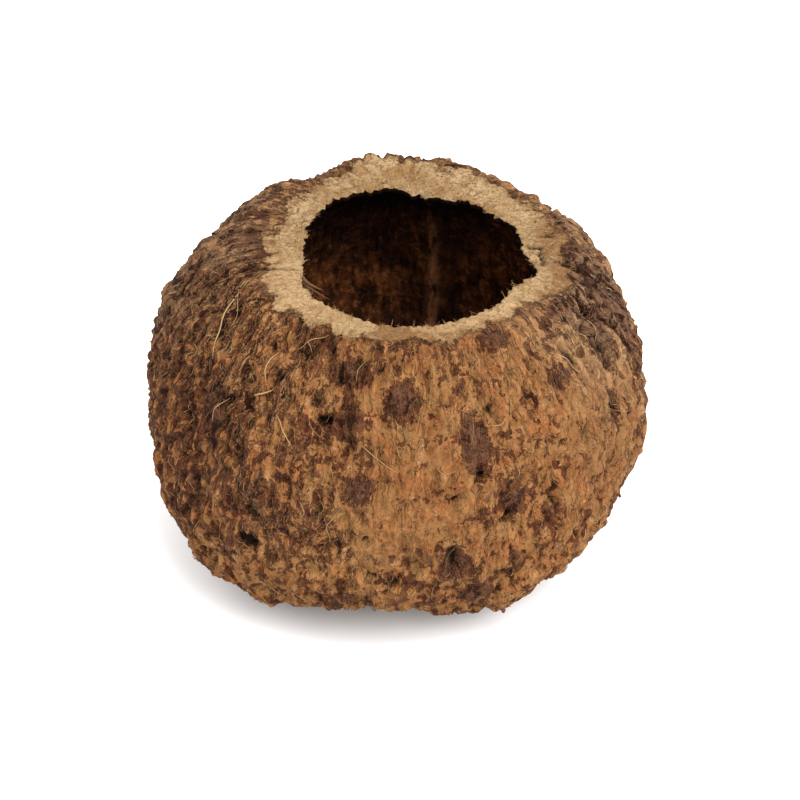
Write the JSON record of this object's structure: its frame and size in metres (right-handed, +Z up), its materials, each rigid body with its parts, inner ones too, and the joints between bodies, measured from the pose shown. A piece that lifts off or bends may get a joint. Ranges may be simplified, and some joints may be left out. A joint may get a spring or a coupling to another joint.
{
  "type": "brazil nut pod",
  "caption": "Round woody seed pod with rough bark, sawn open across the top to an empty ribbed cavity, resting on a small flat spot.",
  "frame": {"origin": "middle of the flat spot underneath that the pod rests on", "axes": "+Z up through the mouth; -Y is the side that the picture shows, where the sawn face is lowest; +X is the picture's right"},
  "size_m": [0.1194, 0.1207, 0.087],
  "materials": {
    "husk": "rough brown bark with tan matted fibre, pale sawn rim, near-black cavity"
  },
  "bodies": {
    "root": {"pod": "husk"}
  },
  "joints": []
}
